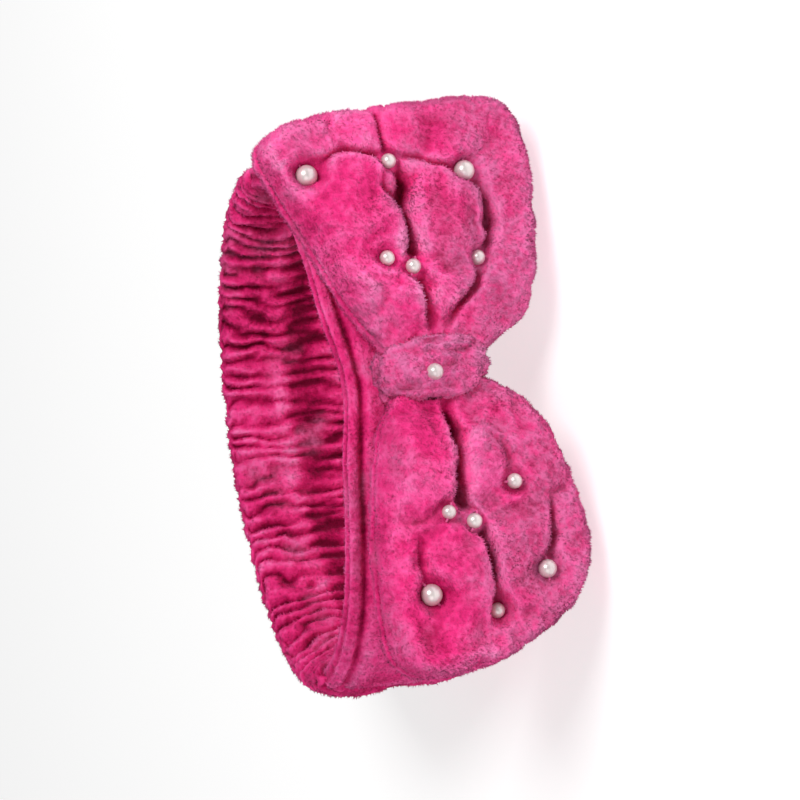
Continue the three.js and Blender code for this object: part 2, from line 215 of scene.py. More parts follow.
# %% [markdown]
# ## Writing finishes as sums
#
# A finish is easiest to read as a sum, such as `patches * 0.4 + streaks`. `Amount` wraps one value
# of a material, so that Python's own signs write the Math nodes, and `Finish` adds any other node.

# %% Amount and Finish
class Amount:
    """One value in a finish. Its signs write Math nodes."""

    def __init__(self, finish, socket):
        self.finish = finish
        self.socket = socket

    def work_out(self, operation, first, second):
        return self.finish.node("Math", {"operation": operation}, {0: first, 1: second})

    def __add__(self, other):
        return self.work_out("ADD", self, other)

    def __radd__(self, other):
        return self.work_out("ADD", other, self)

    def __sub__(self, other):
        return self.work_out("SUBTRACT", self, other)

    def __rsub__(self, other):
        return self.work_out("SUBTRACT", other, self)

    def __mul__(self, other):
        return self.work_out("MULTIPLY", self, other)

    def __rmul__(self, other):
        return self.work_out("MULTIPLY", other, self)


class Finish:
    """A material that is being mixed."""

    def __init__(self, name):
        self.material = bpy.data.materials.new(name)
        self.material.use_nodes = True
        self.tree = self.material.node_tree
        self.shader = self.tree.nodes["Principled BSDF"]
        self.place = self.node("TexCoord", output="Object")

    def node(self, kind, settings=None, inputs=None, output=0):
        """Adds a node: its settings first, then what its sockets are given."""
        made = self.tree.nodes.new("ShaderNode" + kind)
        for name, setting in (settings or {}).items():
            if name == "stops":
                self.set_stops(made.color_ramp, setting)
            else:
                setattr(made, name, setting)
        for name, given in (inputs or {}).items():
            self.give(made.inputs[name], given)
        return Amount(self, made.outputs[output])

    def set_stops(self, ramp, stops):
        while len(ramp.elements) < len(stops):
            ramp.elements.new(1)
        for element, (position, colour) in zip(ramp.elements, stops):
            element.position = position
            element.color = colour

    def give(self, socket, given):
        if isinstance(given, Amount):
            self.tree.links.new(given.socket, socket)
        else:
            socket.default_value = given

    def shade(self, **inputs):
        """Gives the shader's sockets, named with _ for a space."""
        for name, given in inputs.items():
            self.give(self.shader.inputs[name.replace("_", " ")], given)
        return self.material

    def cloudy(self, per_metre, detail=2.0, roughness=0.5, distortion=0.0):
        """Soft clouds from 0 to 1, that many to the metre."""
        inputs = {"Vector": self.place, "Scale": per_metre, "Detail": detail}
        inputs.update({"Roughness": roughness, "Distortion": distortion})
        return self.node("TexNoise", None, inputs)

    def between(self, amount, low, high):
        """0 below low, 1 above high, and a smooth step between."""
        inputs = {"Value": amount, "From Min": low, "From Max": high}
        return self.node("MapRange", {"interpolation_type": "SMOOTHSTEP"}, inputs)

    def blend_colours(self, amount, first, second):
        """first where amount is 0, and second where it is 1."""
        sockets = {0: amount, 6: first, 7: second}
        return self.node("Mix", {"data_type": "RGBA"}, sockets, output=2)


def dye(red, green, blue):
    """A colour on the usual scale of 0 to 255, as the shader wants it."""
    def straight(part):
        part = part / 255
        return part / 12.92 if part <= 0.04045 else ((part + 0.055) / 1.055) ** 2.4
    return (straight(red), straight(green), straight(blue), 1)


# %% [markdown]
# ## The plush
#
# The cloth is a brushed plush. Its short pile lies in clumps that lean this way and that, so a clump
# seen from its tips is a bright, clear pink and one seen along its hairs is darker, and in patches it
# turns a dull mauve. Clouds of four sizes mix the pinks, from patches of three centimetres down to
# hairs, and a fifth lays the mauve over them. Sheen lights the edges.
#
# Two numbers kept at the cloth's points steer this. The first says how far the pile is open there,
# and
# paints light with it: a closed fold is painted dark as shade and a tight edge pale as a highlight.
# The second brings in more of the dull mauve where it is noted.

# %% Mixing the plush
# the palest pink is a painted highlight, the darkest is painted shade, and the deep pink is mostly
# painted shade with the pile's darkest patches
painted_highlight_pink = dye(255, 142, 198)
bright_pink = dye(252, 92, 164)
plain_pink = dye(236, 52, 130)
deep_pink_and_shade = dye(180, 14, 82)
painted_fold_shade_pink = dye(112, 0, 42)
dull_mauve = dye(212, 110, 160)

# how many clouds of each size there are to the metre
patches_per_metre = 36
mauve_spots_per_metre = 52
clumps_per_metre = 110
streaks_per_metre = 430
hairs_per_metre = 1600


def plush(name, painted_lightness):
    """The brushed plush. A level above 0 paints it paler, as light, and below 0 paints it darker, as
    shade.
    """
    finish = Finish(name)
    spread = finish.node("Attribute", {"attribute_name": "spread"}, output="Fac")
    wear = finish.node("Attribute", {"attribute_name": "wear"}, output="Fac")
    patches = finish.between(finish.cloudy(patches_per_metre, 1), 0.3, 0.7)
    clumps = finish.between(finish.cloudy(clumps_per_metre, 1), 0.3, 0.7)
    streaks = finish.between(finish.cloudy(streaks_per_metre, 2, 0.6), 0.3, 0.7)
    hairs = finish.cloudy(hairs_per_metre, 2, 0.7)
    mottle = patches * 0.24 + clumps * 0.16 + streaks * 0.12 + hairs * 0.14
    # folds are painted darker as shade and tight edges paler as highlights, and a level below 0
    # paints the whole piece darker as shade
    lit = mottle + (spread - 0.5) * 0.75 + (0.15 + painted_lightness)
    # the lowest stops are reached through painted shade and the top one only through a painted
    # highlight
    stops = [(0.0, painted_fold_shade_pink), (0.2, deep_pink_and_shade), (0.5, plain_pink), (0.74, bright_pink),
             (1.0, painted_highlight_pink)]
    dyed = finish.node("ValToRGB", {"stops": stops}, {"Fac": lit})
    mauve_spots = finish.cloudy(mauve_spots_per_metre, 2) + wear * 0.32
    mauve_patches = finish.between(mauve_spots, 0.52, 0.8) * (0.3 + streaks * 0.5)
    colour = finish.blend_colours(mauve_patches, dyed, dull_mauve)
    pile = hairs * 0.6 + streaks * 0.8
    leaning = finish.node("Bump", None, {"Strength": 0.6, "Distance": 0.0006, "Height": pile})
    return finish.shade(
        Base_Color=colour,
        Roughness=0.95,
        Normal=leaning,
        Specular_IOR_Level=0.08,
        Sheen_Weight=0.3,
        Sheen_Roughness=0.5,
        Sheen_Tint=dye(255, 120, 180),
    )


plush_finish = plush("plush", painted_lightness=0.0)
# the gathered band lies in the shade inside the ring, so its copy of the plush is painted darker
shaded_gathered_finish = plush("gathered_plush", painted_lightness=-0.13)

floor_finish = Finish("floor_paint")
floor_mesh.materials.append(floor_finish.shade(
    Base_Color=(0.6, 0.6, 0.6, 1),
    Roughness=0.8,
    Emission_Color=(1, 1, 1, 1),
    Emission_Strength=0.6,
))

# %% [markdown]
# ## Small tools for soft shapes
#
# A few chosen points and a smooth curve through them give an outline, as a paper pattern does. Most
# of the sewing is then done on arrays of points: how far each point of the plush lies from a seam,
# a fold or a stitch says how deep it is pulled in there.

# %% Curves, distances and points
def smooth_curve(chosen, steps, closed=True):
    """A curve through the chosen points, with some steps between each pair."""
    points = [Vector(point) for point in chosen]
    count = len(points)
    last = count if closed else count - 1
    curve = []
    for index in range(last):
        if closed:
            a, b, c, d = (points[(index + shift) % count] for shift in (-1, 0, 1, 2))
        else:
            a, b = points[max(index - 1, 0)], points[index]
            c, d = points[index + 1], points[min(index + 2, count - 1)]
        for step in range(steps):
            t = step / steps
            curve.append(0.5 * (2 * b + (c - a) * t + (2 * a - 5 * b + 4 * c - d) * t ** 2
                                + (3 * b - a - 3 * c + d) * t ** 3))
    if not closed:
        curve.append(points[-1])
    return curve


def nearest_on(path, points):
    """For flat points: how far the path is, and the path's own third value there."""
    path = np.array([tuple(point) for point in path])
    best = np.full(len(points), 1e9)
    value = np.zeros(len(points))
    for first, second in zip(path[:-1], path[1:]):
        step = second[:2] - first[:2]
        share = ((points - first[:2]) @ step) / max(step @ step, 1e-9)
        share = np.clip(share, 0, 1)
        away = np.linalg.norm(points - first[:2] - share[:, None] * step, axis=1)
        nearer = away < best
        best[nearer] = away[nearer]
        if path.shape[1] > 2:
            value[nearer] = (first[2] + share * (second[2] - first[2]))[nearer]
    return best, value


def ease(value, low, high):
    """0 below low, 1 above high, and a smooth step between."""
    share = np.clip((value - low) / (high - low), 0, 1)
    return share * share * (3 - 2 * share)


def read_points(mesh):
    points = np.empty(len(mesh.vertices) * 3)
    mesh.vertices.foreach_get("co", points)
    return points.reshape(-1, 3)


def write_points(mesh, points):
    mesh.vertices.foreach_set("co", points.ravel())
    mesh.update()


def read_normals(mesh):
    normals = np.empty(len(mesh.vertices) * 3)
    mesh.vertex_normals.foreach_get("vector", normals)
    return normals.reshape(-1, 3)


def clouds(points, size, seed):
    """Soft clouds from -1 to 1 at each point, size apart."""
    shift = Vector((seed * 17.3, seed * 5.1, seed * 9.7))
    return np.array([noise.noise(Vector(point) / size + shift) for point in points])


def bake_modifiers(piece):
    """Turns what a piece's modifiers make into its own mesh."""
    seen = bpy.context.evaluated_depsgraph_get()
    mesh = bpy.data.meshes.new_from_object(piece.evaluated_get(seen))
    old = piece.data
    piece.modifiers.clear()
    piece.data = mesh
    bpy.data.meshes.remove(old)
    return mesh


def new_piece(name, build):
    """An object of that name, from a finished bmesh."""
    mesh = bpy.data.meshes.new(name)
    build.to_mesh(mesh)
    build.free()
    piece = bpy.data.objects.new(name, mesh)
    bpy.context.scene.collection.objects.link(piece)
    return piece


# %% [markdown]
# ## Tools for pile
#
# The pile is made in three steps. The cloth itself is lifted into small clumps. Then the cloth's own
# bends say where its pile is spread open, and from that shade is painted into its folds and highlight
# onto its tight edges. Last, many small closed tufts, each a cone with three sides, are rooted in it
# and brushed over in patches. All the tufts of a piece are one object.

# %% Clumps, spread and tufts
tuft_radius = 0.3
root_depth = 0.3
brushed_patch = 14
brushed_lean = 1.3
stray_lean = 0.3


def raise_pile(mesh, layers, seed):
    """Lifts the surface into clumps of pile: each layer is (height, size)."""
    points = read_points(mesh)
    normals = read_normals(mesh)
    lift = np.zeros(len(points))
    for number, (height, size) in enumerate(layers):
        lift += height * clouds(points, size, seed + number)
    write_points(mesh, points + normals * lift[:, None])


def note(mesh, name, values):
    """Keeps one number for each point, which the finish reads."""
    kept = mesh.attributes.new(name, "FLOAT", "POINT")
    kept.data.foreach_set("value", np.asarray(values, np.float32))


def note_spread_and_painted_light(mesh, rounds, reach):
    """Compares the cloth with a copy smoothed that many rounds. The number noted is 0 where the cloth
    lies reach or more behind it, as deep in a fold, 0.5 on flat cloth and 1 on a tight edge. The
    finish paints shade into the folds and highlight onto the tight edges from it."""
    points = read_points(mesh)
    normals = read_normals(mesh)
    count = len(points)
    pairs = np.empty(len(mesh.edges) * 2, np.int32)
    mesh.edges.foreach_get("vertices", pairs)
    first, second = pairs[0::2], pairs[1::2]
    links = np.bincount(pairs, minlength=count)[:, None]
    smooth = points.copy()
    for _ in range(rounds):
        total = np.stack([
            np.bincount(first, smooth[second, axis], count)
            + np.bincount(second, smooth[first, axis], count) for axis in range(3)
        ], 1)
        smooth = smooth * 0.4 + total / links * 0.6
    proud = ((points - smooth) * normals).sum(1)
    # the pile's openness, for the tufts' length and for the painted shade in folds and painted
    # highlight on edges
    note(mesh, "spread", np.clip(0.5 + proud / (2 * reach), 0, 1))


def grow_pile(piece, per_square, longest, seed):
    """Tufts of pile all over a piece, per_square of them on each square millimetre, as an object of
    their own. They lean together in patches, as brushed plush does, and are short in the folds."""
    mesh = piece.data
    mesh.calc_loop_triangles()
    corners = np.empty(len(mesh.loop_triangles) * 3, np.int32)
    mesh.loop_triangles.foreach_get("vertices", corners)
    corners = corners.reshape(-1, 3)
    points, normals = read_points(mesh), read_normals(mesh)
    spread = np.empty(len(points), np.float32)
    mesh.attributes["spread"].data.foreach_get("value", spread)
    wear = np.zeros(len(points), np.float32)
    if "wear" in mesh.attributes:
        mesh.attributes["wear"].data.foreach_get("value", wear)
    first, second, third = (points[corners[:, corner]] for corner in range(3))
    area = np.linalg.norm(np.cross(second - first, third - first), axis=1) / 2
    chance = np.random.default_rng(seed)
    count = int(area.sum() * per_square)
    chosen = corners[chance.choice(len(corners), count, p=area / area.sum())]
    share = chance.dirichlet((1, 1, 1), count)
    root = (points[chosen] * share[:, :, None]).sum(1)
    upright = (normals[chosen] * share[:, :, None]).sum(1)
    open_and_painted_light_here = (spread[chosen] * share).sum(1)
    mauve_bias_here = (wear[chosen] * share).sum(1)
    brushed = np.stack([clouds(root, brushed_patch, seed + axis) for axis in range(3)], 1)
    along = upright + brushed * brushed_lean + chance.normal(0, stray_lean, (count, 3))
    along /= np.linalg.norm(along, axis=1)[:, None]
    across = np.cross(along, chance.normal(0, 1, (count, 3)))
    across /= np.linalg.norm(across, axis=1)[:, None]
    other = np.cross(along, across)
    length = longest * (0.55 + 0.45 * chance.random(count)) * (0.35 + 0.65 * open_and_painted_light_here)
    build = bmesh.new()
    bmesh.ops.create_cone(build, cap_ends=True, segments=3, radius1=tuft_radius, radius2=0,
                          depth=1)
    bmesh.ops.translate(build, verts=build.verts, vec=(0, 0, 0.5))
    pile = new_piece(piece.name.replace("plush", "pile"), build)
    tuft = read_points(pile.data)
    repeated = pile.modifiers.new("tufts", "ARRAY")
    repeated.use_relative_offset = False
    repeated.count = count
    bake_modifiers(pile)
    tall = tuft[None, :, 2, None] * (length + root_depth)[:, None, None] - root_depth
    placed = (root[:, None] + along[:, None] * tall + across[:, None] * tuft[None, :, 0, None]
              + other[:, None] * tuft[None, :, 1, None])
    write_points(pile.data, placed.reshape(-1, 3))
    # the root of a tuft is painted a little darker than the cloth it stands in, as shade, and its tip
    # paler, as a highlight
    height = np.tile(tuft[:, 2], (count, 1))
    note(pile.data, "spread", (open_and_painted_light_here[:, None] + height * 0.16 - 0.06).ravel())
    note(pile.data, "wear", np.repeat(mauve_bias_here, len(tuft)))
    kept = pile.data.attributes.new("upright", "FLOAT_VECTOR", "POINT")
    standing = np.repeat(upright, len(tuft), axis=0)
    kept.data.foreach_set("vector", standing.ravel().astype(np.float32))
    return pile


def put_in_place(piece, material):
    """Stands a piece made in millimetres about the bow in its real place. Tufts are lit as the cloth
    under them is, which keeps them soft."""
    piece.data.transform(stand)
    piece.data.materials.clear()
    piece.data.materials.append(material)
    piece.data.shade_smooth()
    if "upright" in piece.data.attributes:
        upright = np.empty(len(piece.data.vertices) * 3, np.float32)
        piece.data.attributes["upright"].data.foreach_get("vector", upright)
        facing = upright.reshape(-1, 3) @ np.array(stand.to_3x3()).T
        facing /= np.linalg.norm(facing, axis=1)[:, None]
        piece.data.attributes.remove(piece.data.attributes["upright"])
        piece.data.normals_split_custom_set_from_vertices(facing.tolist())
    print(piece.name, "has", len(piece.data.vertices), "points")


def dress(piece, material, clumps, bends, tufts, seeds, wear=None):
    """Gives a shaped piece its clumps, its spread with painted shade and highlight, its share of
    mauve and its tufts, and puts both in their place. Bends are (rounds, reach), and tufts are (how
    many on a square millimetre, the longest)."""
    raise_pile(piece.data, clumps, seeds[0])
    note_spread_and_painted_light(piece.data, *bends)
    if wear is not None:
        note(piece.data, "wear", wear(read_points(piece.data)))
    pile = grow_pile(piece, *tufts, seeds[1])
    put_in_place(piece, material)
    put_in_place(pile, material)
    return pile


# %% [markdown]
# ## The wings of the bow
#
# Each wing is a bag of plush, sewn round its edge, turned and stuffed. Then a needle went through it
# at every pearl and drew the front down, and the plush between the stitches rolled up into lobes with
# deep folds. A pattern outline is cut as a slab, remeshed evenly and swollen by how far each point
# lies from the seam. The folds are drawn in, held with pins, and a short cloth simulation blows the
# plush up between them, which gives the tight, uneven curves that stuffing has.

# %% Patterns, folds and stitches
slab_half_thickness = 4.2
rim_rounding = 2.2
cell_size = 1.2

right_pattern = [
    (3, -11.5), (3, 11.5), (11, 18), (23, 26), (42, 35), (60, 43.5), (69.5, 46.4), (75.2, 42.6),
    (79, 33), (81.5, 15), (83.5, -5), (83.9, -22), (81.6, -32), (75.5, -37), (64, -39.6),
    (46, -39.3), (28, -36.4), (16, -32.3), (10, -24),
]
left_pattern = [
    (-3, 11.5), (-3, -11.5), (-6.5, -19.5), (-12, -26.5), (-21, -32), (-35, -36),
    (-49, -38.8), (-60, -38.8), (-69, -36), (-77, -28.4), (-84, -15.8), (-89.3, -2.5),
    (-91.2, 11), (-89, 22.5), (-83, 28), (-72, 29.3), (-53, 28.3), (-33, 25.5), (-17, 21),
    (-9, 16),
]

# each fold: how wide it is, and its points as right, up and how far forward its bottom lies
right_folds = [
    (2.6, [(9, 0.5, -5), (24.3, 2.5, -2), (30.5, 4.5, -7.5), (38.1, 4.5, -0.5),
           (44, 5.5, 1), (50.6, 4.5, 1), (58, 3.6, -2), (63.5, 7.5, -7.5)]),
    (2.4, [(44, 6, 0), (50.6, 8.1, -1), (54.5, 11, -6)]),
    (2.0, [(9.5, -2, -5), (18.1, -7.9, -4), (24.5, -14.4, -4), (31.9, -16.6, -7.5),
           (39.2, -21.2, -2.5), (46.1, -21.9, -1.5), (52.4, -20.8, -3), (59, -16.5, -8.2)]),
    (2.1, [(63.4, 8, -7.5), (66, 15.5, -6), (67.3, 21.6, -6.5), (65.9, 26.7, -8),
           (61.4, 33.3, -9)]),
    (1.9, [(63.4, 8, -8), (64.5, 1, -9.2), (61.5, -6, -9.6), (59.5, -15.9, -9)]),
    (1.8, [(65, 8.5, -7.5), (72.6, 9.4, -7.2), (77.5, 9.2, -5.5)]),
]
left_folds = [
    (2.6, [(-8.7, 0.3, -4.5), (-20.2, -0.2, -0.5), (-31.2, 1, 0), (-39.5, 1, -1),
           (-47.5, -0.3, -8), (-53.1, -4.1, -0.5), (-58.7, -5, 0), (-65.4, -4.1, -3),
           (-74, -5.6, -5.4)]),
    (3.0, [(-24, -13.6, -10.5), (-30, -15.2, -9), (-37.1, -15.5, -8.4)]),
    (2.6, [(-42, -27, -9), (-50, -26, -5.5), (-57, -25, -4.6), (-64, -22.4, -6.8)]),
    (3.5, [(-47, 16.5, -11), (-57.9, 17.3, -8), (-66.6, 15.4, -6.6)]),
    (2.6, [(-42.5, 8.5, -9.2), (-47.5, 0.4, -8.4)]),
]


def stitches_of(side):
    """Where this wing's pearls are sewn down: (right, up, forward, radius, back of the thread)."""
    found = []
    for node in frame["nodes"]:
        if node.startswith("pearl_" + side):
            low, high = node_box(node)
            middle = (low + high) / 2
            tied = node_box(node.replace("pearl_", "pearl_thread_"))[1].y
            found.append((middle.x, middle.z, middle.y, (high.z - low.z) / 2, tied))
    return found


# %% Cutting and stuffing
def even_out(mesh, times, share):
    """Draws each point towards the middle of its neighbours."""
    build = bmesh.new()
    build.from_mesh(mesh)
    for _ in range(times):
        bmesh.ops.smooth_vert(build, verts=build.verts, factor=share, use_axis_x=True,
                              use_axis_y=True, use_axis_z=True)
    build.to_mesh(mesh)
    build.free()


def cut_slab(name, pattern):
    """A flat slab of the pattern's outline with rounded edges, in even small cells."""
    build = bmesh.new()
    ring = [build.verts.new((x, -slab_half_thickness, z)) for x, z in smooth_curve(pattern, 6)]
    front = build.faces.new(ring)
    backed = bmesh.ops.extrude_face_region(build, geom=[front], use_keep_orig=True)["geom"]
    moved = [part for part in backed if isinstance(part, bmesh.types.BMVert)]
    bmesh.ops.translate(build, verts=moved, vec=(0, 2 * slab_half_thickness, 0))
    bmesh.ops.recalc_face_normals(build, faces=build.faces)
    rims = [edge for edge in build.edges if any(len(face.verts) > 4 for face in edge.link_faces)]
    bmesh.ops.bevel(build, geom=rims, offset=rim_rounding, segments=3, profile=0.5, affect="EDGES",
                    material=-1)
    slab = new_piece(name, build)
    remesh = slab.modifiers.new("even_cells", "REMESH")
    remesh.mode = "VOXEL"
    remesh.voxel_size = cell_size
    bake_modifiers(slab)
    even_out(slab.data, 4, 0.5)
    return slab


neck_reach = 5
full_reach = 26
neck_half_thickness = 5.2
rim_width = 7
lobe_width = 15
front_rise = {"rim": 3.4, "crown": 2.2, "lobe": 3.6}
back_rise = {"rim": 2.2, "crown": 1.6}


def stuff(wing, pattern, folds, stitches):
    """Swells the slab, draws in the folds and stitches, and says which points are held."""
    points = read_points(wing.data)
    flat = points[:, [0, 2]]
    ring = smooth_curve(pattern, 6)
    inside, _ = nearest_on(ring + ring[:1], flat)
    level = points[:, 1] / slab_half_thickness
    rounded = np.sqrt(1 - (1 - np.clip(inside / rim_width, 0, 1)) ** 2)
    crown = ease(inside, 0, full_reach)
    from_fold = np.min([nearest_on(smooth_curve(path, 4, closed=False), flat)[0]
                        for _, path in folds], axis=0)
    lobe = np.sqrt(1 - (1 - np.clip(from_fold / lobe_width, 0, 1)) ** 2)
    front = (slab_half_thickness + front_rise["rim"] * rounded + front_rise["crown"] * crown
             + front_rise["lobe"] * lobe * rounded)
    back = slab_half_thickness + back_rise["rim"] * rounded + back_rise["crown"] * crown
    full = np.where(level < 0, front, back)
    open_out = ease(np.abs(points[:, 0]), neck_reach, full_reach)
    thick = neck_half_thickness * (1 - open_out) + full * open_out
    points[:, 1] = level * thick
    held = np.zeros(len(points))
    # each fold's bottom is pulled to its own depth, and a narrow strip of it is held
    facing = ease(-level, 0.2, 0.8)
    for width, path in folds:
        away, depth = nearest_on(smooth_curve(path, 4, closed=False), flat)
        pull = np.exp(-((away / width) ** 2)) * facing
        points[:, 1] += (depth - points[:, 1]) * pull
        held = np.maximum(held, ease(-away, -1.5, -0.7) * (level < -0.5))
    # under each pearl the front is a dimple, and behind it the back is drawn in to its thread
    for right, up, forward, radius, tied in stitches:
        away = np.hypot(flat[:, 0] - right, flat[:, 1] - up)
        dimple = forward + radius * 0.35
        pull = np.exp(-((away / (radius + 1.8)) ** 4)) * facing
        points[:, 1] += (dimple - points[:, 1]) * pull
        pull_back = np.exp(-((away / 4.5) ** 2)) * ease(level, 0.2, 0.8)
        points[:, 1] += (tied - 0.5 - points[:, 1]) * pull_back
        held = np.maximum(held, ease(-away, -radius - 0.4, -radius * 0.5) * (level < -0.5))
        held = np.maximum(held, ease(-away, -1.8, -0.9) * (level > 0.5))
    # the end that the knot holds and the seam round the edge are held as well
    held = np.maximum(held, (np.abs(points[:, 0]) < 8) * 1.0)
    held = np.maximum(held, ((inside < 1.6) & (np.abs(level) < 0.45)) * 1.0)
    write_points(wing.data, points)
    return held


# %% Blowing up
cloth_frames = 20


def blow_up(piece, held, most, pressure, shrink):
    """A short cloth simulation: the held points stay, and no other moves further than most."""
    before = read_points(piece.data)
    piece.data.transform(Matrix.Scale(MM, 4))
    group = piece.vertex_groups.new(name="held")
    for index in np.nonzero(held > 0.01)[0]:
        group.add([int(index)], float(held[index]), "REPLACE")
    cloth = piece.modifiers.new("stuffing", "CLOTH")
    settings = cloth.settings
    settings.quality = 5
    settings.mass = 0.15
    settings.tension_stiffness = 12
    settings.compression_stiffness = 8
    settings.shear_stiffness = 4
    settings.bending_stiffness = 0.3
    settings.vertex_group_mass = "held"
    settings.shrink_min = shrink
    settings.use_pressure = True
    settings.uniform_pressure_force = pressure
    settings.effector_weights.gravity = 0
    cloth.collision_settings.use_collision = False
    scene = bpy.context.scene
    for number in range(1, cloth_frames + 1):
        scene.frame_set(number)
    bake_modifiers(piece)
    scene.frame_set(1)
    piece.vertex_groups.clear()
    piece.data.transform(Matrix.Scale(1 / MM, 4))
    moved = read_points(piece.data) - before
    far = np.linalg.norm(moved, axis=1)
    print(piece.name, "blew up by", far.mean().round(2), "mm, most", far.max().round(2))
    kept = np.minimum(far, most) / np.maximum(far, 1e-9)
    write_points(piece.data, before + moved * kept[:, None])


def finer(piece):
    """Cuts every face in four, on the smooth surface."""
    subdivision = piece.modifiers.new("finer", "SUBSURF")
    subdivision.levels = 1
    subdivision.render_levels = 1
    bake_modifiers(piece)


def roll_over(mesh, folds, stitches, most):
    """The plush on both sides of a fold rolls over it, so that only a narrow gap shows, but not
    over a pearl."""
    points = read_points(mesh)
    clear = np.ones(len(points))
    for right, up, _, radius, _ in stitches:
        away = np.hypot(points[:, 0] - right, points[:, 2] - up)
        clear = np.minimum(clear, ease(away, radius + 1.5, radius + 5))
    nudge = 0.05
    for width, path in folds:
        curve = smooth_curve(path, 4, closed=False)
        flat = points[:, [0, 2]]
        away, _ = nearest_on(curve, flat)
        beside = flat + np.array([nudge, 0])
        above = flat + np.array([0, nudge])
        slope = np.stack([nearest_on(curve, beside)[0] - away,
                          nearest_on(curve, above)[0] - away], 1) / nudge
        roll = np.minimum(most, away * 0.6) * np.exp(-(((away - width) / 3.2) ** 2))
        roll *= clear * ease(-points[:, 1], 4, 9) * ease(np.abs(points[:, 0]), 9, 16)
        points[:, [0, 2]] -= slope * roll[:, None]
    write_points(mesh, points)


def draw_in_seam(mesh, pattern, depth):
    """The seam round the edge is a narrow groove between two rolls of plush."""
    points = read_points(mesh)
    normals = read_normals(mesh)
    ring = smooth_curve(pattern, 6)
    inside, _ = nearest_on(ring + ring[:1], points[:, [0, 2]])
    rim = ease(-inside, -5.5, -2.5) * np.exp(-((points[:, 1] / 0.9) ** 2))
    rim *= ease(np.abs(points[:, 0]), 8, 14)
    write_points(mesh, points - normals * (depth * rim)[:, None])


smooth_clumps = [(0.16, 3.2), (0.2, 1.5)]


def make_wing(side, pattern, folds, seed):
    """One wing, cut, stuffed, blown up and finished. Its lower part gets more of the dull mauve."""
    wing = cut_slab(side + "_wing_plush", pattern)
    stitches = stitches_of(side)
    held = stuff(wing, pattern, folds, stitches)
    blow_up(wing, held, most=4.5, pressure=9, shrink=-0.1)
    roll_over(wing.data, folds, stitches, most=2.3)
    even_out(wing.data, times=2, share=0.4)
    finer(wing)
    draw_in_seam(wing.data, pattern, depth=1.5)
    pile = dress(wing, plush_finish, smooth_clumps, bends=(40, 1.3), tufts=(2.2, 1.3),
                 seeds=(seed, seed), wear=lambda points: ease(-points[:, 2], -16, 24))
    return wing, pile


right_wing, right_pile = make_wing("right", right_pattern, right_folds, 1)
left_wing, left_pile = make_wing("left", left_pattern, left_folds, 5)

# %% [markdown]
# The inner end of each wing is caught under the knot. Each wing and its tufts get their place written
# into their points, and the working model's panels and filling of that wing are hidden.

# %% Writing the wings' place into their points
for wing, pile, side, way in ((right_wing, right_pile, "right", 1),
                              (left_wing, left_pile, "left", -1)):
    start = stand @ Vector((way * 3, 0, 0))
    end = stand @ Vector((way * 20, 0, 0))
    side + "_wing"
    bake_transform(wing)
    side + "_wing"
    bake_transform(pile)
    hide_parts(side + "_wing_front_panel", side + "_wing_back_panel",
                side + "_wing_filling")

# %% [markdown]
# ## The knot
#
# The knot is a short tube of the same plush, pulled tight round the waist of the bow, so wrinkles run
# along the way round. A flat, closed profile is spun once about the waist as a plain ring. The ring
# is then pressed to a squarish oval, drawn narrower above and below, and wrinkled by clouds that are
# stretched along the way round.

# %% Wrapping the knot
knot_low, knot_high = node_box("knot_wrap")
knot_half_width = (knot_high.x - knot_low.x) / 2
knot_half_height = (knot_high.z - knot_low.z) / 2
knot_half_depth = (knot_high.y - knot_low.y) / 2
waist_radius = 16
cloth_half_thickness = 2.7
skin_depth = 2.4
skin_depth_below = 5.0
squareness = 2.6


def wrap_knot():
    build = bmesh.new()
    bmesh.ops.create_circle(build, segments=28, radius=1)
    for point in build.verts:
        across, out = point.co.x, point.co.y
        wide = abs(across) ** 0.85 * (1 if across > 0 else -1)
        point.co = (wide * knot_half_width, 0, waist_radius + out * cloth_half_thickness)
    bmesh.ops.spin(build, geom=build.verts[:] + build.edges[:], cent=(0, 0, 0), axis=(1, 0, 0),
                   dvec=(0, 0, 0), angle=2 * math.pi, steps=110, use_merge=True)
    bmesh.ops.recalc_face_normals(build, faces=build.faces)
    knot = new_piece("knot_plush", build)
    points = read_points(knot.data)
    around = np.arctan2(points[:, 1], points[:, 2])
    out = np.hypot(points[:, 1], points[:, 2])
    skin = out - waist_radius
    way_round = np.stack([points[:, 0] / 3.2, np.sin(around) * 1.6, np.cos(around) * 1.6], 1)
    ridge = 1 - np.abs(clouds(way_round, 1.0, 31)) * 3
    rise = np.where(skin > 0, 1.5 * ridge - 0.6 * (points[:, 0] / knot_half_width) ** 2, 0)
    below = np.clip(-np.cos(around), 0, 1)
    above = np.clip(np.cos(around), 0, 1)
    pinch = 1 - 0.42 * below ** 2.5 - 0.35 * above ** 4
    under_cloth = np.where(points[:, 2] > 0, skin_depth, skin_depth_below)
    depth_at = (knot_half_depth - skin_depth) + skin + rise
    height_at = (knot_half_height - under_cloth) + skin + rise
    square = (np.abs(np.sin(around)) ** squareness
              + np.abs(np.cos(around)) ** squareness) ** (-1 / squareness)
    points[:, 1] = np.sin(around) * square * depth_at
    points[:, 2] = np.cos(around) * square * height_at
    points[:, 0] = points[:, 0] * pinch + 1.6 * below ** 2
    write_points(knot.data, points)
    pile = dress(knot, plush_finish, [(0.6, 3.0), (0.3, 1.4)], bends=(14, 1.2),
                 tufts=(2.4, 1.2), seeds=(41, 43), wear=lambda points: np.ones(len(points)))
    return knot, pile


knot, knot_pile = wrap_knot()
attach(knot, "front_band")
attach(knot_pile, "front_band")
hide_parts("knot_wrap", "bow_waist")

# %% [markdown]
# ## The band
#
# Seen from above, the band is an oval. Both halves are part of a plain ring first: a closed section
# is spun about the ring's middle, so each point has a place along the band, a height and a distance
# out. `round_head` then lays that point on the oval, which bulges a little more on the left, and
# `along` is the length of cloth up to it.

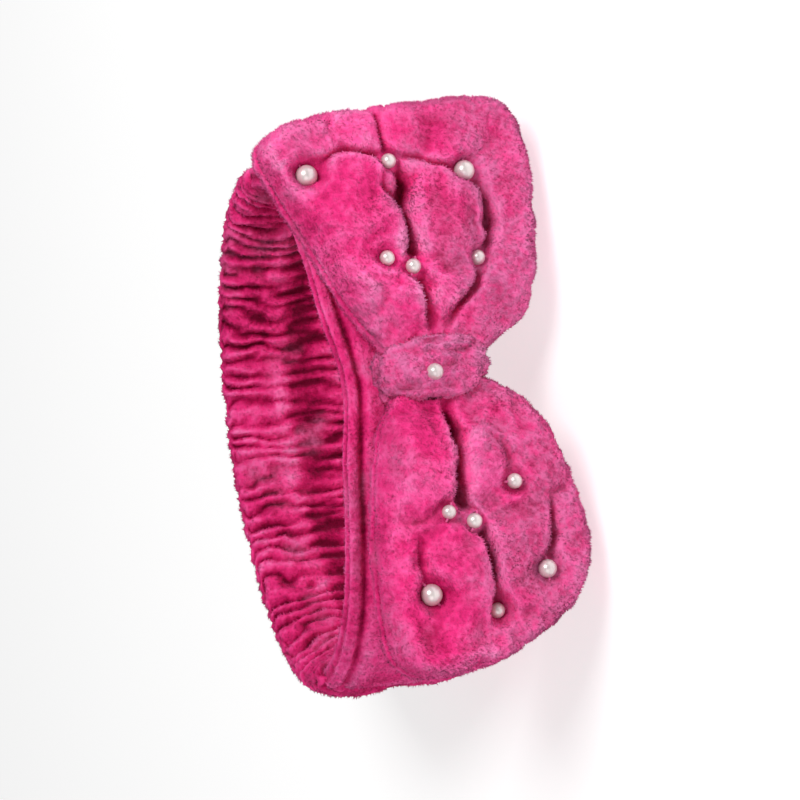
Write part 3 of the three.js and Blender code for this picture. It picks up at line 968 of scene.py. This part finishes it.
# %% The oval of the head
front_low = node_box("front_band_cover")[0]
back_low, back_high = node_box("gathered_casing_back")
side_low = node_box("gathered_casing_left")[0]
head_middle = (front_low.y + back_high.y) / 2
band_half_thickness = 5.0
oval_wide = -side_low.x - band_half_thickness
oval_deep = (back_high.y - front_low.y) / 2 - band_half_thickness
band_half_width = 28.0
left_bulge = 4.0
print("oval", round(oval_wide, 1), "by", round(oval_deep, 1), "about", round(head_middle, 1))

turn_table = np.linspace(-math.pi, math.pi, 4001)
step_length = np.hypot(oval_wide * np.cos(turn_table), oval_deep * np.sin(turn_table))
length_table = np.concatenate([[0], np.cumsum((step_length[1:] + step_length[:-1]) / 2)])
length_table *= turn_table[1] - turn_table[0]
length_table -= np.interp(0, turn_table, length_table)
ring_radius = 60


def round_head(turn, out, height):
    """The place at a turn from the front's middle, so far out from the oval, at a height."""
    across = np.sin(turn)
    forward = np.cos(turn)
    slope = np.hypot(oval_deep * across, oval_wide * forward)
    right = oval_wide * across + out * oval_deep * across / slope
    right -= left_bulge * ease(-across, 0.3, 1)
    back = head_middle - oval_deep * forward - out * oval_wide * forward / slope
    return np.stack([right, back, height], 1)


def spin_band(name, start, end, steps, section_points):
    """A closed section spun from one turn to another, with its ends closed."""
    build = bmesh.new()
    bmesh.ops.create_circle(build, segments=section_points, radius=1)
    for point in build.verts:
        out, up = point.co.x, point.co.y
        out = math.copysign(abs(out) ** 0.75, out)
        up = math.copysign(abs(up) ** 0.55, up)
        point.co = (0, -(ring_radius + out * band_half_thickness), up * band_half_width)
    bmesh.ops.rotate(build, verts=build.verts, cent=(0, 0, 0),
                     matrix=Matrix.Rotation(start, 3, "Z"))
    bmesh.ops.spin(build, geom=build.verts[:] + build.edges[:], cent=(0, 0, 0), axis=(0, 0, 1),
                   dvec=(0, 0, 0), angle=end - start, steps=steps)
    bmesh.ops.holes_fill(build, edges=[edge for edge in build.edges if edge.is_boundary])
    bmesh.ops.recalc_face_normals(build, faces=build.faces)
    print(name, "is spun through", round(math.degrees(end - start)), "degrees")
    return new_piece(name, build)


def band_places(mesh, middle_turn):
    """Each point's turn, length along, distance out and height on the plain ring."""
    points = read_points(mesh)
    turn = np.arctan2(points[:, 0], -points[:, 1]) - middle_turn
    turn = (turn + math.pi) % (2 * math.pi) - math.pi + middle_turn
    folded = (turn + math.pi) % (2 * math.pi) - math.pi
    along = np.interp(folded, turn_table, length_table)
    along = np.where(turn > math.pi, along + 2 * length_table[-1], along)
    out = np.hypot(points[:, 0], points[:, 1]) - ring_radius
    return turn, along, out, points[:, 2]


# %% [markdown]
# ### The front of the band
#
# The front is a smooth, padded strip: plush outside and in, foam between, and a seam along each rim.
# It is fullest along its middle, but lies flat and a little drawn in behind the bow. A line of
# stitches runs along each rim, so the rim itself stands up as a narrow roll beside it. At the knot
# the strip is pulled together, and much more from below than from above.

# %% Padding the front of the band
front_turn = math.radians(86)
edging_width = 5.5
edging_start = band_half_width - edging_width
outer_puff = 1.2
drawn_behind_bow = 2.8


def pad_front_band():
    band = spin_band("front_band_plush", -front_turn, front_turn, 210, 96)
    turn, along, out, height = band_places(band.data, 0)
    level = height / band_half_width
    outside = ease(out, -2, 2)
    behind_bow = 1 - ease(np.abs(along), 50, 85)
    fullness = (outer_puff - drawn_behind_bow * behind_bow) * outside - (1 - outside)
    puff = (1 - level ** 2) * fullness
    seam = np.exp(-((out / 1.1) ** 2)) * ease(np.abs(level), 0.9, 0.99)
    stitched = np.exp(-(((np.abs(height) - edging_start) / 1.3) ** 2))
    roll = ease(np.abs(height), edging_start, band_half_width)
    puff += outside * (roll - 1.7 * stitched)
    end = ease(front_turn - np.abs(turn), 0, 0.05)
    soft = clouds(np.stack([along / 22, out / 20, height / 16], 1), 1.0, 51)
    out = (out + puff + 0.7 * soft) * (0.72 + 0.28 * end)
    pulled = np.where(height < 0, 0.3, 0.12) * np.exp(-((along / 17) ** 2))
    height = height * (1 - pulled)
    height = height * (1 - 0.06 * seam) * (0.95 + 0.05 * end)
    write_points(band.data, round_head(turn, out, height))
    pile = dress(band, plush_finish, smooth_clumps, bends=(16, 1.0), tufts=(1.6, 1.2),
                 seeds=(61, 63))
    return band, pile


front_band, front_pile = pad_front_band()
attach(front_band, "front_band")
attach(front_pile, "front_band")
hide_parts("front_band_cover", "front_band_lining", "front_band_padding",
            "left_join_seam", "right_join_seam")

# %% [markdown]
# ### The gathered back of the band
#
# The back is a tube of plush twice as long as the elastic inside it. Let go, the elastic gathers it
# into narrow pleats across the band, and the stitches that hold the elastic leave one long groove.
# The pleats are ridges with sharp valleys between them, a few millimetres apart. They wander, merge
# and split, so their count is bent by slow clouds, and they grow shallower towards the band's ends.
# Inside the ring a hump of cloth lies above the groove.

# %% Gathering the back of the band
pleat_pitch = 5.6
small_pleat_pitch = 2.9
pleat_depth = 2.9
groove_height = 2.5
groove_depth = 2.8
hump_rise = 1.5


def channel(height, middle, half, fullness):
    """A stuffed tube between two rows of stitches."""
    return fullness * np.sqrt(np.clip(1 - ((height - middle) / half) ** 2, 0, 1))


def gather_back_band():
    start = front_turn - 0.03
    band = spin_band("gathered_band_plush", start, 2 * math.pi - start, 360, 120)
    turn, along, out, height = band_places(band.data, math.pi)
    level = height / band_half_width
    side = np.where(out > 0, 1.0, -1.0)
    skin = ease(np.abs(out), 0, 2.5)
    from_end = np.minimum(turn - start, 2 * math.pi - start - turn) * 70
    wander = np.stack([along / 13, level * 1.5, side * skin * 0.6], 1)
    bend = 1.1 * clouds(wander, 1.0, 71) + 0.35 * clouds(wander * 2.7, 1.0, 72)
    ridge = np.abs(np.sin(math.pi * (along / pleat_pitch + bend))) ** 0.9
    small = np.abs(np.sin(math.pi * (along / small_pleat_pitch + 2.2 * bend + level)))
    ridge = 0.88 * ridge + 0.12 * small
    strength = 0.6 + 0.4 * ease(from_end, 0, 18)
    fullness = 1 + 0.9 * clouds(np.stack([along / 7, level * 2.2, side], 1), 1.0, 73)
    groove = np.exp(-(((height - groove_height) / 1.7) ** 2)) * skin
    upper_half = (band_half_width - groove_height) / 2
    lower_half = (band_half_width + groove_height) / 2
    upper = channel(height, groove_height + upper_half, upper_half, 2.4)
    lower = channel(height, groove_height - lower_half, lower_half, 2.0)
    hump = hump_rise * np.exp(-(((height - groove_height - 6) / 4) ** 2))
    hump *= 1 + 0.8 * clouds(np.stack([along / 4.5, side, side], 1), 1.0, 75)
    swell = np.maximum(upper, lower) + hump * (side < 0) - groove_depth * groove
    valley = pleat_depth * (1 - ridge) * strength * fullness
    out = out + side * skin * (swell - valley + 0.4)
    rim = ease(np.abs(level), 0.7, 0.98)
    height = height + np.sign(height) * rim * (0.9 - 1.3 * (1 - ridge) * strength * fullness)
    tuck = ease(from_end, 0, 5)
    out = out * (0.62 + 0.38 * tuck)
    height = height * (0.93 + 0.07 * tuck)
    write_points(band.data, round_head(turn, out, height))
    even_out(band.data, times=1, share=0.5)
    # its plush is the copy painted darker, as shade inside the ring
    pile = dress(band, shaded_gathered_finish, [(0.35, 2.6), (0.3, 1.3)], bends=(26, 1.1),
                 tufts=(1.25, 1.4), seeds=(81, 83))
    return band, pile


gathered_band, gathered_pile = gather_back_band()
for piece in (gathered_band, gathered_pile):
    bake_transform(piece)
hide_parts("gathered_casing_left", "gathered_casing_back",
            "gathered_casing_right", "elastic_strip")

# %% [markdown]
# ## The pearls
#
# The pearls are moulded beads with a hole through them, and thread runs through the hole and down
# into the plush on both sides. Each is turned as a profile about its hole: a nearly round outline
# that dips a little into the hole's mouth. The direction of the hole comes from where its thread
# lies. A clear coat over a warm white, with the faintest cloud of pink, makes the depth of a pearl.

# %% Turning the pearls
pearl_mix = Finish("pearl")
lustre = pearl_mix.between(pearl_mix.cloudy(260, 2), 0.35, 0.7)
pearl_colour = pearl_mix.blend_colours(lustre, dye(226, 214, 212), dye(214, 194, 198))
pearl_finish = pearl_mix.shade(
    Base_Color=pearl_colour,
    Metallic=0.35,
    Roughness=0.3,
    Coat_Weight=0.7,
    Coat_Roughness=0.08,
)

thread_mix = Finish("thread")
twist = thread_mix.node("TexWave", {"wave_type": "BANDS"}, {
    "Vector": thread_mix.place, "Scale": 1400, "Distortion": 1.5, "Detail": 1.0})
twisted = thread_mix.node("Bump", None, {"Strength": 0.5, "Distance": 0.0002, "Height": twist})
thread_finish = thread_mix.shade(
    Base_Color=thread_mix.blend_colours(twist, dye(214, 60, 130), dye(240, 120, 178)),
    Roughness=0.6, Normal=twisted)

hole_share = 0.2
mouth_dip = 0.93
rounds = 26
slices = 40


def turn_pearl(node):
    """One bead in place of its node, with its hole along its thread."""
    low, high = node_box(node)
    middle = (low + high) / 2
    radius = (high.z - low.z) / 2
    thread = node_points(node.replace("pearl_", "pearl_thread_"))[:, [0, 2]]
    thread_way = np.linalg.svd(thread - thread.mean(0), full_matrices=False)[2][0]
    build = bmesh.new()
    mouth = math.asin(hole_share)
    mouth_radius = radius * hole_share * 0.8
    profile = [Vector((0, -radius * mouth_dip, mouth_radius))]
    for step in range(rounds + 1):
        angle = mouth + (math.pi - 2 * mouth) * step / rounds
        profile.append(Vector((0, -radius * math.cos(angle), radius * math.sin(angle))))
    profile.append(Vector((0, radius * mouth_dip, mouth_radius)))
    made = [build.verts.new(point) for point in profile]
    for first, second in zip(made, made[1:] + made[:1]):
        build.edges.new((first, second))
    bmesh.ops.spin(build, geom=build.verts[:] + build.edges[:], cent=(0, 0, 0), axis=(0, 1, 0),
                   dvec=(0, 0, 0), angle=2 * math.pi, steps=slices, use_merge=True)
    bmesh.ops.recalc_face_normals(build, faces=build.faces)
    turn = math.atan2(thread_way[1], thread_way[0]) - math.pi / 2
    bmesh.ops.rotate(build, verts=build.verts, cent=(0, 0, 0),
                     matrix=Matrix.Rotation(math.pi / 2, 3, "X"))
    bmesh.ops.rotate(build, verts=build.verts, cent=(0, 0, 0),
                     matrix=Matrix.Rotation(-turn, 3, "Y"))
    bmesh.ops.translate(build, verts=build.verts, vec=middle)
    pearl = new_piece(node.replace("pearl_", "bead_"), build)
    put_in_place(pearl, pearl_finish)
    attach(pearl, frame["nodes"][node]["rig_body"])
    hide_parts(node)


pearl_nodes = sorted(
    node for node in frame["nodes"]
    if node.startswith("pearl_") and not node.startswith("pearl_thread_")
)
for pearl_node in pearl_nodes:
    turn_pearl(pearl_node)
print(len(pearl_nodes), "pearls")

# %% [markdown]
# ## Thread
#
# The threads and the tacks behind the knot are small, and the working model has their true shape, so
# they only get the look of twisted pink thread.

# %% Dressing the threads
for name, node in frame["nodes"].items():
    if not node.hide_render:
        node.data.materials.clear()
        node.data.materials.append(thread_finish)
        print("thread finish on", name)

# %% [markdown]
# ## Closing
#
# The pile of the lower rims reaches a little below the working model, so the floor is laid just under
# the lowest tuft.

# %% Laying the floor
floor_gap = 0.0002
floor.location.z = min(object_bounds()[0][2], 0) - floor_gap
print("the floor lies at", round(floor.location.z * 1000, 1), "mm")
